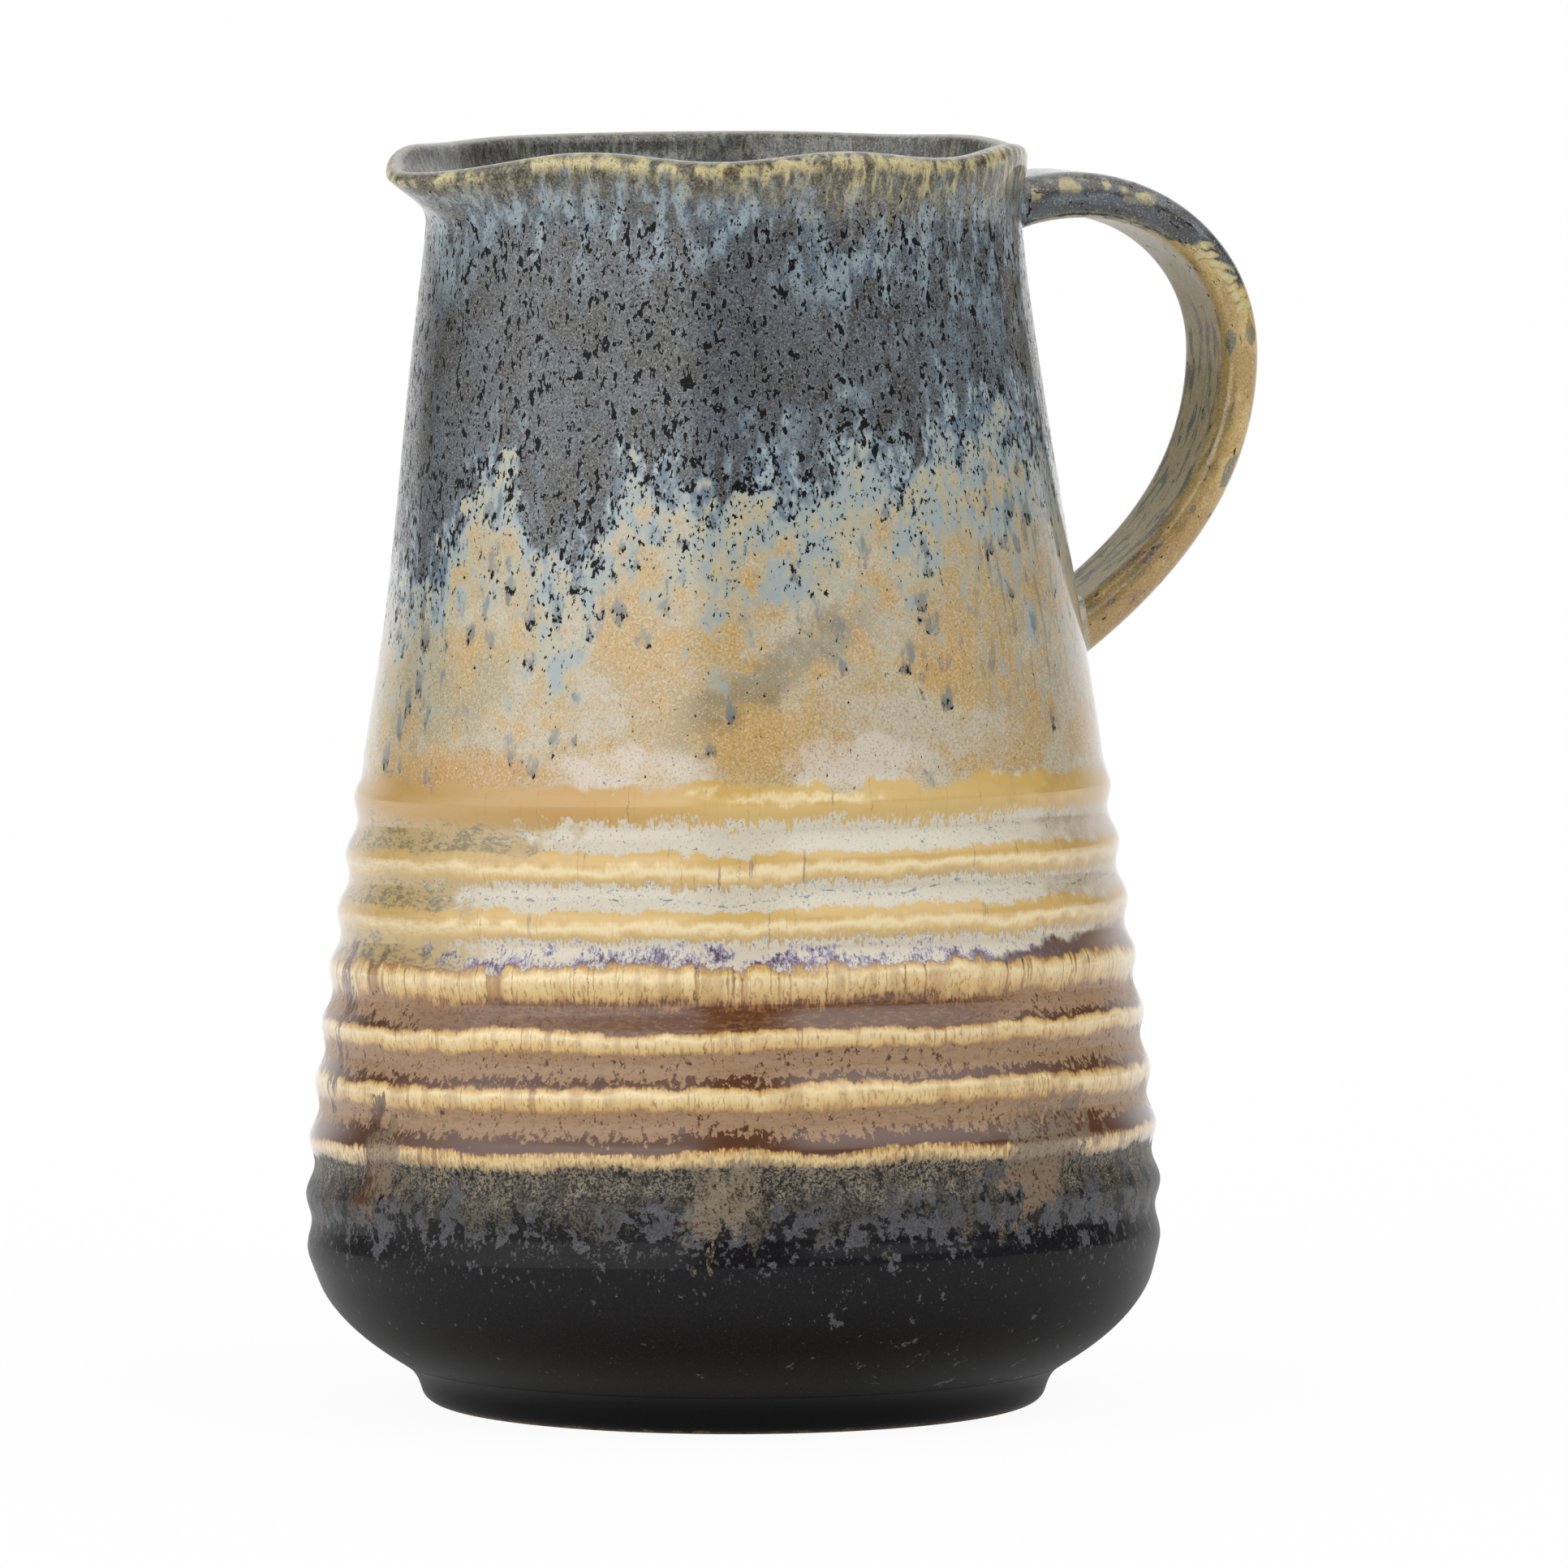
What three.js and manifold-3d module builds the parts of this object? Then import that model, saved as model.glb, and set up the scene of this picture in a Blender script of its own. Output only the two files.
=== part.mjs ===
// Serving jug in stoneware: a thrown pot with a pulled spout, a foot ring and a strap handle,
// the last two luted on with clay slip. Millimetres, +Z up, standing on z = 0.
// The handle points along +X and the spout along -X.
import * as THREE from "three";
import { mergeVertices } from "three/addons/utils/BufferGeometryUtils.js";
import Module from "manifold-3d";

const wasm = await Module();
wasm.setup();

// Foot ring
const footRadius = 51.8; // outer edge, on the table
const footTopRadius = 53.6; // where it meets the bowl
const footHeight = 5.4;
const footWidth = 7; // radial width of the ring
const footBevel = 1.2; // rounding of the outer edge on the table

// Thrown pot, outside
const bellyRadius = 71.4; // widest place
const bellyHeight = 27.5;
const shoulderRadius = 62.4; // where the throwing rings end and the plain cone begins
const shoulderHeight = 106;
const shoulderSlope = 0.15; // radius lost per millimetre of height there
const neckRadius = 48.2; // narrowest place
const rimRadius = 49.2;
const rimHeight = 211; // top of the lip, without its wave
const lipHeight = 10; // the flared lip, from the neck up to the rim

// Lengths of the tangents that round the outline
const bowlRun = 8.7;
const bowlRise = 4.8;
const bellyUndercut = 10.5;
const bellyFlank = 22;
const flankTangent = 26;
const coneTangent = 34;
const neckTangent = 14;

// Thrown pot, inside
const wall = 4.6;
const rimWall = 3.6; // thickness of the lip
const floorThickness = 6.2;
const floorCorner = 17; // radial width of the rounded corner between the floor and the wall

// Throwing rings: ridges in planes that climb towards -Y
const ringPitch = 9.58;
const ringDepth = 0.6; // from the mean surface to a crest
const ringCrest = 45.65; // height of the lowest full crest, on the axis
const ringClimb = 0.046; // climb per millimetre
const ringBottom = 24; // the rings fade in from here
const ringFull = 44; // they have their full depth from here
const ringTop = 104; // they fade out from here
const ringEnd = 109; // and are gone here

// Spout and rim
const throatReach = 4.1; // the wide swelling under the spout
const throatDepth = 90; // below the rim, where it begins
const throatFull = 24; // below the rim, where it is complete
const throatHalfAngle = 36 * THREE.MathUtils.DEG2RAD;
const beakReach = 7.8; // the narrow beak, beyond the throat
const beakDepth = 12; // below the rim, where it begins
const beakHalfAngle = 17 * THREE.MathUtils.DEG2RAD;
const beakDip = 2.4; // how far its tip lies under the rim
const rimWaveHeight = 0.8;
const rimWaves = 7;
const rimWavePeak = -90 * THREE.MathUtils.DEG2RAD; // direction of the tallest wave
const rimWaveDepth = 16; // height over which the wave dies out

// Strap handle, measured on its centre line
const handleDrop = 11.5; // upper root, below the rim
const handleSpan = 73.2; // from the upper root down to the lower one
const handleReach = 89.2; // from the pot's axis to the outermost point
const elbowDrop = 25; // from the upper root down to the outermost point
const crestRun = 23.5; // tangent at the upper root, outwards
const crestRise = 7.8; // and upwards
const elbowRise = 18.5; // tangent at the outermost point, upwards
const elbowFall = 22.8; // and downwards
const tailRun = 16.6; // tangent at the lower root, outwards
const tailRise = 11; // and upwards
const strapBreadth = 21;
const strapThickness = 6.6;
const strapEdge = 2.4; // rounding of the strap's long edges

// Slip joints at the handle's roots
const luteThickness = 1.2;
const luteCollar = 1.6; // how far the slip stands out round the strap
const seatGap = 0.3; // between pieces that follow a curved seat

// Facets
const turnFacets = 60;
const ringFacets = 4; // for each throwing ring
const curveFacets = 8;
const strapFacets = 32;
const edgeFacets = 4; // for each rounded edge

const lipTop = rimHeight - rimWall / 2; // where the rounding of the rim begins
const neckHeight = rimHeight - lipHeight;

// One stretch of an outline, from its start to its end, with the two tangent points between.
const stretch = (...points) =>
  new THREE.CubicBezierCurve(...points.map(([r, z]) => new THREE.Vector2(r, z)));

// The outside of the pot: bowl, flank, cone and lip, as curves of radius and height.
const bowl = stretch(
  [footTopRadius, footHeight],
  [footTopRadius + bowlRun, footHeight + bowlRise],
  [bellyRadius, bellyHeight - bellyUndercut],
  [bellyRadius, bellyHeight],
);
const flank = stretch(
  [bellyRadius, bellyHeight],
  [bellyRadius, bellyHeight + bellyFlank],
  [shoulderRadius + shoulderSlope * flankTangent, shoulderHeight - flankTangent],
  [shoulderRadius, shoulderHeight],
);
const cone = stretch(
  [shoulderRadius, shoulderHeight],
  [shoulderRadius - shoulderSlope * coneTangent, shoulderHeight + coneTangent],
  [neckRadius, neckHeight - neckTangent],
  [neckRadius, neckHeight],
);
const lip = stretch(
  [neckRadius, neckHeight],
  [neckRadius, neckHeight + lipHeight / 3],
  [rimRadius, lipTop - lipHeight / 3],
  [rimRadius, lipTop],
);

const ringSteps = Math.ceil((ringFacets * (shoulderHeight - bellyHeight)) / ringPitch);
const outside = [
  ...bowl.getPoints(curveFacets),
  ...flank.getSpacedPoints(ringSteps).slice(1),
  ...cone.getPoints(curveFacets + 2).slice(1),
  ...lip.getPoints(curveFacets / 2).slice(1),
];

// The mean radius of the outside at a height above the foot ring.
function wallRadius(z) {
  const above = outside.findIndex((p, i) => i > 0 && p.y >= z);
  if (above < 0) return rimRadius;
  const low = outside[above - 1];
  const high = outside[above];
  return THREE.MathUtils.mapLinear(z, low.y, high.y, low.x, high.x);
}

// The rounded rim, then the inside from the rim down to the middle of the floor.
function inside() {
  const rimCentre = rimRadius - rimWall / 2;
  const rim = new THREE.EllipseCurve(rimCentre, lipTop, rimWall / 2, rimWall / 2, 0, Math.PI);
  const floorHeight = footHeight + floorThickness;
  const corner = stretch(
    [bellyRadius - wall, bellyHeight],
    [bellyRadius - wall, floorHeight + bellyUndercut / 3],
    [bellyRadius - wall - floorCorner / 3, floorHeight],
    [bellyRadius - wall - floorCorner, floorHeight],
  );
  const thinned = (p) => {
    const inLip = THREE.MathUtils.smoothstep(p.y, neckHeight, lipTop);
    return new THREE.Vector2(p.x - THREE.MathUtils.lerp(wall, rimWall, inLip), p.y);
  };
  const downwards = (curve, steps) => curve.getPoints(steps).reverse().slice(1).map(thinned);
  return [
    ...rim.getPoints(curveFacets / 2).slice(1),
    ...downwards(lip, curveFacets / 4),
    ...downwards(cone, curveFacets / 2),
    ...downwards(flank, curveFacets / 2),
    ...corner.getPoints(curveFacets / 2).slice(1),
    new THREE.Vector2(0, floorHeight),
  ];
}

// How far the outside stands out at a throwing ring.
function ringRelief(x, y, z) {
  const height = z + ringClimb * y;
  const strength =
    THREE.MathUtils.smoothstep(height, ringBottom, ringFull) *
    (1 - THREE.MathUtils.smoothstep(height, ringTop, ringEnd));
  return ringDepth * strength * Math.cos((2 * Math.PI * (height - ringCrest)) / ringPitch);
}

// The wave that the potter's fingers left along the rim: tallest at its peak, gone behind it.
function rimWave(turn) {
  const fromPeak = turn - rimWavePeak;
  return (rimWaveHeight * (1 + Math.cos(fromPeak)) * Math.cos(rimWaves * fromPeak)) / 2;
}

const bell = (share) => Math.exp(-share * share);

// Moves a turned shape's vertices as the potter's hands did: rings, throat, beak and rim wave.
function handShaped(geometry, outset = 0) {
  const position = geometry.getAttribute("position");
  for (let i = 0; i < position.count; i += 1) {
    const [x, y, z] = [position.getX(i), position.getY(i), position.getZ(i)];
    const radius = Math.hypot(x, y);
    const turn = Math.atan2(y, x);
    const onOutside = z > footHeight && radius > wallRadius(z) + outset - wall / 2;
    const fromSpout = Math.PI - Math.abs(turn);
    const swell = THREE.MathUtils.smoothstep(z, rimHeight - throatDepth, rimHeight - throatFull);
    const throat = throatReach * bell(fromSpout / throatHalfAngle) * swell;
    const swing = THREE.MathUtils.clamp((z - rimHeight + beakDepth) / beakDepth, 0, 1);
    const beak = bell(fromSpout / beakHalfAngle) * swing;
    const relief = onOutside ? ringRelief(x, y, z) : 0;
    const pulled = radius > 0 ? radius + relief + throat + beakReach * beak : 0;
    const nearRim = THREE.MathUtils.smoothstep(z, rimHeight - rimWaveDepth, rimHeight);
    const lifted = z + nearRim * rimWave(turn) - beakDip * beak;
    position.setXYZ(i, pulled * Math.cos(turn), pulled * Math.sin(turn), lifted);
  }
  return geometry;
}

const upright = (outline) => new THREE.LatheGeometry(outline, turnFacets).rotateX(Math.PI / 2);

// Geometry to a closed solid, and back.
function solid(geometry) {
  const bare = geometry.clone();
  bare.deleteAttribute("normal");
  bare.deleteAttribute("uv");
  const merged = mergeVertices(bare, 1e-4);
  const vertProperties = new Float32Array(merged.getAttribute("position").array);
  const triVerts = new Uint32Array(merged.index.array);
  return new wasm.Manifold(new wasm.Mesh({ numProp: 3, vertProperties, triVerts }));
}

function geometryOf(manifold) {
  const { vertProperties, triVerts } = manifold.getMesh();
  const geometry = new THREE.BufferGeometry();
  geometry.setAttribute("position", new THREE.BufferAttribute(vertProperties, 3));
  geometry.setIndex(new THREE.BufferAttribute(triVerts, 1));
  geometry.computeVertexNormals();
  return geometry;
}

// The pot without its hollow, grown by an outset, which trims whatever is luted to the wall.
function potEnvelope(outset) {
  const grown = outside.map((p) => new THREE.Vector2(p.x + outset, p.y));
  const outline = [new THREE.Vector2(0, footHeight), ...grown, new THREE.Vector2(0, lipTop)];
  return solid(handShaped(upright(outline), outset));
}

function strapSection(margin = 0) {
  const halfBreadth = strapBreadth / 2 + margin;
  const halfThickness = strapThickness / 2 + margin;
  const edge = strapEdge + margin;
  const across = halfBreadth - edge;
  const up = halfThickness - edge;
  const section = new THREE.Shape();
  section.absarc(across, up, edge, 0, Math.PI / 2);
  section.absarc(-across, up, edge, Math.PI / 2, Math.PI);
  section.absarc(-across, -up, edge, Math.PI, (3 * Math.PI) / 2);
  section.absarc(across, -up, edge, (3 * Math.PI) / 2, 2 * Math.PI);
  return section;
}

// The roots lie in the middle of the wall, so the strap's ends reach into it before they are trimmed.
function handleRoot(z) {
  return new THREE.Vector3(wallRadius(z) - wall / 2, 0, z);
}

const upperRoot = handleRoot(rimHeight - handleDrop);
const lowerRoot = handleRoot(rimHeight - handleDrop - handleSpan);
const elbow = new THREE.Vector3(handleReach, 0, upperRoot.z - elbowDrop);
const upperArm = new THREE.CubicBezierCurve3(
  upperRoot,
  upperRoot.clone().add(new THREE.Vector3(crestRun, 0, crestRise)),
  elbow.clone().add(new THREE.Vector3(0, 0, elbowRise)),
  elbow,
);
const lowerArm = new THREE.CubicBezierCurve3(
  elbow,
  elbow.clone().sub(new THREE.Vector3(0, 0, elbowFall)),
  lowerRoot.clone().add(new THREE.Vector3(tailRun, 0, tailRise)),
  lowerRoot,
);

function handleGeometry() {
  const path = new THREE.CurvePath();
  path.add(upperArm);
  path.add(lowerArm);
  const strap = new THREE.ExtrudeGeometry(strapSection(), {
    steps: strapFacets,
    curveSegments: edgeFacets,
    extrudePath: path,
  });
  return geometryOf(solid(strap).subtract(potEnvelope(luteThickness + 2 * seatGap)));
}

// A pad of slip between the wall and one end of the strap, with a collar round it.
function luteGeometry(root, outwards) {
  const reach = wall + luteThickness + strapThickness;
  const stub = new THREE.ExtrudeGeometry(strapSection(luteCollar), {
    steps: 1,
    curveSegments: edgeFacets,
    extrudePath: new THREE.LineCurve3(root, root.clone().addScaledVector(outwards, reach)),
  });
  const pad = solid(stub).intersect(potEnvelope(seatGap + luteThickness));
  return geometryOf(pad.subtract(potEnvelope(seatGap)));
}

function footGeometry() {
  const innerRadius = footRadius - footWidth;
  const bevelCentre = footRadius - footBevel;
  const edge = new THREE.EllipseCurve(bevelCentre, footBevel, footBevel, footBevel, -Math.PI / 2, 0);
  return upright([
    new THREE.Vector2(innerRadius, 0),
    ...edge.getPoints(edgeFacets),
    new THREE.Vector2(footTopRadius, footHeight),
    new THREE.Vector2(innerRadius, footHeight),
    new THREE.Vector2(innerRadius, 0),
  ]);
}

function potGeometry() {
  const outline = [new THREE.Vector2(0, footHeight), ...outside, ...inside()];
  return handShaped(upright(outline));
}

const jug = new THREE.Group();

// Glazed clay is never metallic: only its colour and its gloss differ from piece to piece.
function place(name, geometry, color, roughness) {
  const mesh = new THREE.Mesh(
    geometry,
    new THREE.MeshStandardMaterial({ color, roughness, metalness: 0 }),
  );
  mesh.name = name;
  jug.add(mesh);
}

place("thrown_pot", potGeometry(), 0xb49a6e, 0.3);
place("foot_ring", footGeometry(), 0x201e20, 0.6);
place("strap_handle", handleGeometry(), 0xc0a262, 0.3);
place("upper_lute", luteGeometry(upperRoot, upperArm.getTangent(0)), 0x5c646c, 0.35);
place("lower_lute", luteGeometry(lowerRoot, lowerArm.getTangent(1).negate()), 0xc8ae7a, 0.3);

// The origin lies on the table, in the handle's plane, at the middle of the jug's whole length.
const middle = new THREE.Box3().setFromObject(jug).getCenter(new THREE.Vector3());
jug.position.x = -middle.x;

export default jug;
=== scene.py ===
import math

import bmesh
import bpy
from mathutils import Matrix, Vector
from mathutils.geometry import interpolate_bezier


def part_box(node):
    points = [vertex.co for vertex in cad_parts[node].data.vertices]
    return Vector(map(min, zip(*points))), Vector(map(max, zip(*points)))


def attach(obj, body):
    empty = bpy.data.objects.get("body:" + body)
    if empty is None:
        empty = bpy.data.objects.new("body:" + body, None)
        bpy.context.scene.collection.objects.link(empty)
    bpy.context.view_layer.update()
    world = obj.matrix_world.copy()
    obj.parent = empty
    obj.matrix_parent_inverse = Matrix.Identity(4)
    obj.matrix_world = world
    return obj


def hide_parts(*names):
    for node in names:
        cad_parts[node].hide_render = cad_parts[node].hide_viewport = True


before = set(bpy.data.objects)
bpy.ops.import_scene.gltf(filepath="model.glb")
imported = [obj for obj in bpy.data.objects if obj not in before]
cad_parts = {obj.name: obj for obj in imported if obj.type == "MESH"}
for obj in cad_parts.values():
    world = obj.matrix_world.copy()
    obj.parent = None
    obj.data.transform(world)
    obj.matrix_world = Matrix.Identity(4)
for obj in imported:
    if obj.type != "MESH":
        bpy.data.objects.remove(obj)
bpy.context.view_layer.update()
footLow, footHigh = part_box("foot_ring")
axisX = (footLow.x + footHigh.x) / 2  # the pot's axis stands here, at y = 0
mm = 0.001
frontAngle = math.radians(22)  # the photograph's side lies this far round from -Y, towards the spout
sharpAngle = math.radians(50)  # edges that turn by more are shaded sharp
mergeGap = 1e-4  # points nearer than this become one, in millimetres
plainSpread = 0.125  # how far one layer of noise strays from its middle
scene = bpy.context.scene
scene.view_settings.view_transform = "Standard"
print("frame loaded, pot axis at", round(axisX / mm, 2), "mm")


# Shader maths as plain expressions
class Number:
    def __init__(self, paint, socket):
        self.paint = paint
        self.socket = socket

    def math(self, operation, *others, clamp=False):
        settings = {"operation": operation, "use_clamp": clamp}
        return self.paint.node("Math", settings, dict(enumerate((self, *others))))

    def __add__(self, other):
        return self.math("ADD", other)

    def __sub__(self, other):
        return self.math("SUBTRACT", other)

    def __rsub__(self, other):
        return self.paint.node("Math", {"operation": "SUBTRACT"}, {0: other, 1: self})

    def __mul__(self, other):
        return self.math("MULTIPLY", other)

    def __truediv__(self, other):
        return self.math("DIVIDE", other)

    __radd__ = __add__
    __rmul__ = __mul__

    def above(self, low, high):  # 0 below low, 1 above high, or the other way round
        settings = {"interpolation_type": "SMOOTHSTEP"}
        return self.paint.node("MapRange", settings, {0: self, 1: low, 2: high})

    def between(self, low, high, soft):
        return self.above(low - soft, low + soft) * self.above(high + soft, high - soft)


class Paint:
    def __init__(self, owner):  # a new material or world
        owner.use_nodes = True
        self.owner = owner
        self.tree = owner.node_tree
        self.tree.nodes.clear()

    def node(self, kind, settings, sockets, output=0):
        made = self.tree.nodes.new("ShaderNode" + kind)
        for key, value in settings.items():
            if key == "stops":
                stops = made.color_ramp.elements
                stops.remove(stops[1])
                stops[0].position, stops[0].color = value[0]
                for place, colour in value[1:]:
                    stops.new(place).color = colour
            elif key == "points":
                line = made.mapping.curves[0]
                line.points[0].location, line.points[-1].location = value[0], value[-1]
                for point in value[1:-1]:
                    line.points.new(*point)
                made.mapping.update()
            else:
                setattr(made, key, value)
        for key, value in sockets.items():
            if isinstance(value, Number):
                self.tree.links.new(value.socket, made.inputs[key])
            else:
                made.inputs[key].default_value = value
        return Number(self, made.outputs[output]) if made.outputs else None

    def attribute(self, name):
        return self.node("Attribute", {"attribute_name": name}, {}, "Fac")

    def split(self, place):
        made = self.node("SeparateXYZ", {}, {0: place})
        return [Number(self, out) for out in made.socket.node.outputs]

    def place(self, operation, place, *numbers):
        return self.node("VectorMath", {"operation": operation}, {0: place, 1: numbers})

    def squeeze(self, place, size, tall):  # a blotch becomes one unit wide
        return self.place("MULTIPLY", place, 1 / size, 1 / size, 1 / (size * tall))

    # blotches of one size, about 0 and spread by 1
    def noise(self, place, size, detail=2, roughness=0.5, tall=1.0):
        squeezed = self.squeeze(place, size, tall)
        sockets = {"Vector": squeezed, "Scale": 1.0, "Detail": detail, "Roughness": roughness}
        layers = [roughness ** k for k in range(detail + 1)]
        spread = plainSpread * math.hypot(*layers) / sum(layers)
        return (self.node("TexNoise", {}, sockets) - 0.5) / spread

    # scattered spots: the way from the nearest one, and two draws for it
    def cells(self, place, size, tall=1.0):
        squeezed = self.squeeze(place, size, tall)
        middle = self.node("TexVoronoi", {}, {"Vector": squeezed, "Scale": 1.0}, "Position")
        offset = self.node("VectorMath", {"operation": "SUBTRACT"}, {0: squeezed, 1: middle})
        draws = Number(self, middle.socket.node.outputs["Color"])
        return (*self.split(offset), *self.split(draws)[:2])

    def mix(self, share, first, second):
        return self.node("Mix", {"data_type": "RGBA"}, {0: share, 6: first, 7: second}, 2)

    def curve(self, value, points, low, high):  # a drawn line, given as (place, height) points
        first, last = points[0][0], points[-1][0]
        span, rise = last - first, high - low
        drawn = [((place - first) / span, (height - low) / rise) for place, height in points]
        share = (value - first) / span
        return self.node("FloatCurve", {"points": drawn}, {"Value": share}) * rise + low

    def ramp(self, value, stops):
        return self.node("ValToRGB", {"stops": stops}, {0: value})

    def finish(self, shader, kind="OutputMaterial"):
        self.node(kind, {}, {"Surface": shader})
        return self.owner


def newPaint(name):
    return Paint(bpy.data.materials.new(name))


def rgb(red, green, blue):  # a colour as a paint chart gives it, made linear
    def linear(value):
        share = value / 255
        return share / 12.92 if share <= 0.04045 else ((share + 0.055) / 1.055) ** 2.4

    return (linear(red), linear(green), linear(blue), 1.0)


# Camera, at the photograph's angle
camera = {
    "distance": 2.79, "height": 0.341, "aimRight": 0.00847, "aimHeight": 0.1036,
    "lens": 383.3, "sensor": 36, "clipEnd": 50,
}


def makeCamera(spec):
    data = bpy.data.cameras.new("camera")
    data.lens = spec["lens"]
    data.sensor_width = spec["sensor"]
    data.clip_end = spec["clipEnd"]
    made = bpy.data.objects.new("camera", data)
    scene.collection.objects.link(made)
    front = Vector((-math.sin(frontAngle), -math.cos(frontAngle), 0))
    right = Vector((math.cos(frontAngle), -math.sin(frontAngle), 0))
    axis = Vector((axisX, 0, 0))
    eye = axis + front * spec["distance"] + Vector((0, 0, spec["height"]))
    aim = axis + right * spec["aimRight"] + Vector((0, 0, spec["aimHeight"]))
    made.location = eye
    made.rotation_mode = "QUATERNION"
    made.rotation_quaternion = (aim - eye).to_track_quat("-Z", "Y")
    scene.camera = made


makeCamera(camera)
print("camera set")


# Thrown pot, in millimetres from its axis, nearly as in the part's source
pot = {
    "footHeight": 5.4, "footTopRadius": 53.6,
    "belly": (71.4, 27.5), "shoulder": (62.4, 106), "shoulderSlope": 0.15,
    "neckRadius": 48.2, "rimRadius": 49.2, "rimHeight": 211, "lipHeight": 10,
    "bowlRun": 8.7, "bowlRise": 4.8, "bellyUndercut": 10.5, "bellyFlank": 22,
    "flankTangent": 26, "coneTangent": 34, "neckTangent": 14,
    "wall": 4.6, "rimWall": 3.6, "floorThickness": 6.2, "floorCorner": 17,
    "ringPitch": 9.58, "ringDepth": 0.6, "ringCrest": 45.65, "ringTilt": (0, 0.046),
    "ringFade": (15, 38, 104, 109),
    "throatReach": 4.1, "throatDepth": 90, "throatFull": 24, "throatHalfAngle": math.radians(36),
    "beakReach": 7.8, "beakDepth": 12, "beakHalfAngle": math.radians(17), "beakDip": 3.4,
    "dipNear": math.radians(20), "dipFar": math.radians(9),  # how wide it dips on the two sides
    "rimWaveHeight": 0.8, "rimWaves": 7, "rimWavePeak": math.radians(-90), "rimWaveDepth": 16,
    "outsideSteps": {"bowl": 20, "flank": 108, "cone": 36, "lip": 12},
    "insideSteps": {"lip": 8, "cone": 26, "flank": 26},
    "lineSteps": 24, "rimSteps": 10, "floorSteps": 12, "turnSteps": 240,
    "underEdge": 8, "floorEdge": 25,  # how far in the flat undersides get one more ring of points
    "rimOutside": 4,  # so many points of the rim's round belong to the outside
    "ringClear": 0.1,  # the throwing rings begin this far over the foot
}


def smoothstep(value, low, high):
    share = min(max((value - low) / (high - low), 0), 1)
    return share * share * (3 - 2 * share)


def bell(share):
    return math.exp(-share * share)


def stretch(points, steps):  # one curved stretch of an outline, as radius and height
    flat = [Vector((r, z)) for r, z in points]
    return interpolate_bezier(*flat, steps + 1)


def outsideStretches(p):
    bellyR, bellyZ = p["belly"]
    shoulderR, shoulderZ = p["shoulder"]
    slope = p["shoulderSlope"]
    neckZ = p["rimHeight"] - p["lipHeight"]
    lipTop = p["rimHeight"] - p["rimWall"] / 2
    third = p["lipHeight"] / 3
    return {
        "bowl": [(p["footTopRadius"], p["footHeight"]),
                 (p["footTopRadius"] + p["bowlRun"], p["footHeight"] + p["bowlRise"]),
                 (bellyR, bellyZ - p["bellyUndercut"]), (bellyR, bellyZ)],
        "flank": [(bellyR, bellyZ), (bellyR, bellyZ + p["bellyFlank"]),
                  (shoulderR + slope * p["flankTangent"], shoulderZ - p["flankTangent"]),
                  (shoulderR, shoulderZ)],
        "cone": [(shoulderR, shoulderZ),
                 (shoulderR - slope * p["coneTangent"], shoulderZ + p["coneTangent"]),
                 (p["neckRadius"], neckZ - p["neckTangent"]), (p["neckRadius"], neckZ)],
        "lip": [(p["neckRadius"], neckZ), (p["neckRadius"], neckZ + third),
                (p["rimRadius"], lipTop - third), (p["rimRadius"], lipTop)],
    }


stretches = outsideStretches(pot)
wallLine = [point for points in stretches.values() for point in stretch(points, pot["lineSteps"])]


def wallRadius(z):  # mean radius of the outside
    for low, high in zip(wallLine, wallLine[1:]):
        if low.y <= z <= high.y and high.y > low.y:
            return low.x + (high.x - low.x) * (z - low.y) / (high.y - low.y)
    return pot["rimRadius"]


def ringRelief(co, p=pot):
    height = co.z + p["ringTilt"][0] * co.x + p["ringTilt"][1] * co.y
    fadeIn, full, fadeOut, gone = p["ringFade"]
    strength = smoothstep(height, fadeIn, full) * (1 - smoothstep(height, fadeOut, gone))
    return p["ringDepth"] * strength * math.cos(2 * math.pi * (height - p["ringCrest"]) / p["ringPitch"])


def handShaped(co, outside, p=pot):  # where the potter's hands left a point of the turned shape
    radius = math.hypot(co.x, co.y)
    turn = math.atan2(co.y, co.x)
    fromSpout = math.pi - abs(turn)
    rim = p["rimHeight"]
    swell = smoothstep(co.z, rim - p["throatDepth"], rim - p["throatFull"])
    throat = p["throatReach"] * bell(fromSpout / p["throatHalfAngle"]) * swell
    swing = min(max((co.z - rim + p["beakDepth"]) / (p["beakDepth"] - p["rimWall"] / 2), 0), 1)
    beak = bell(fromSpout / p["beakHalfAngle"]) * swing
    dip = p["beakDip"] * bell(fromSpout / p["dipNear" if turn < 0 else "dipFar"]) * swing
    relief = ringRelief(co) if outside else 0
    pulled = radius + relief + throat + p["beakReach"] * beak if radius > 0 else 0
    fromPeak = turn - p["rimWavePeak"]
    wave = p["rimWaveHeight"] * (1 + math.cos(fromPeak)) * math.cos(p["rimWaves"] * fromPeak) / 2
    lifted = co.z + smoothstep(co.z, rim - p["rimWaveDepth"], rim) * wave - dip
    return Vector((pulled * math.cos(turn), pulled * math.sin(turn), lifted))


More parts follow.
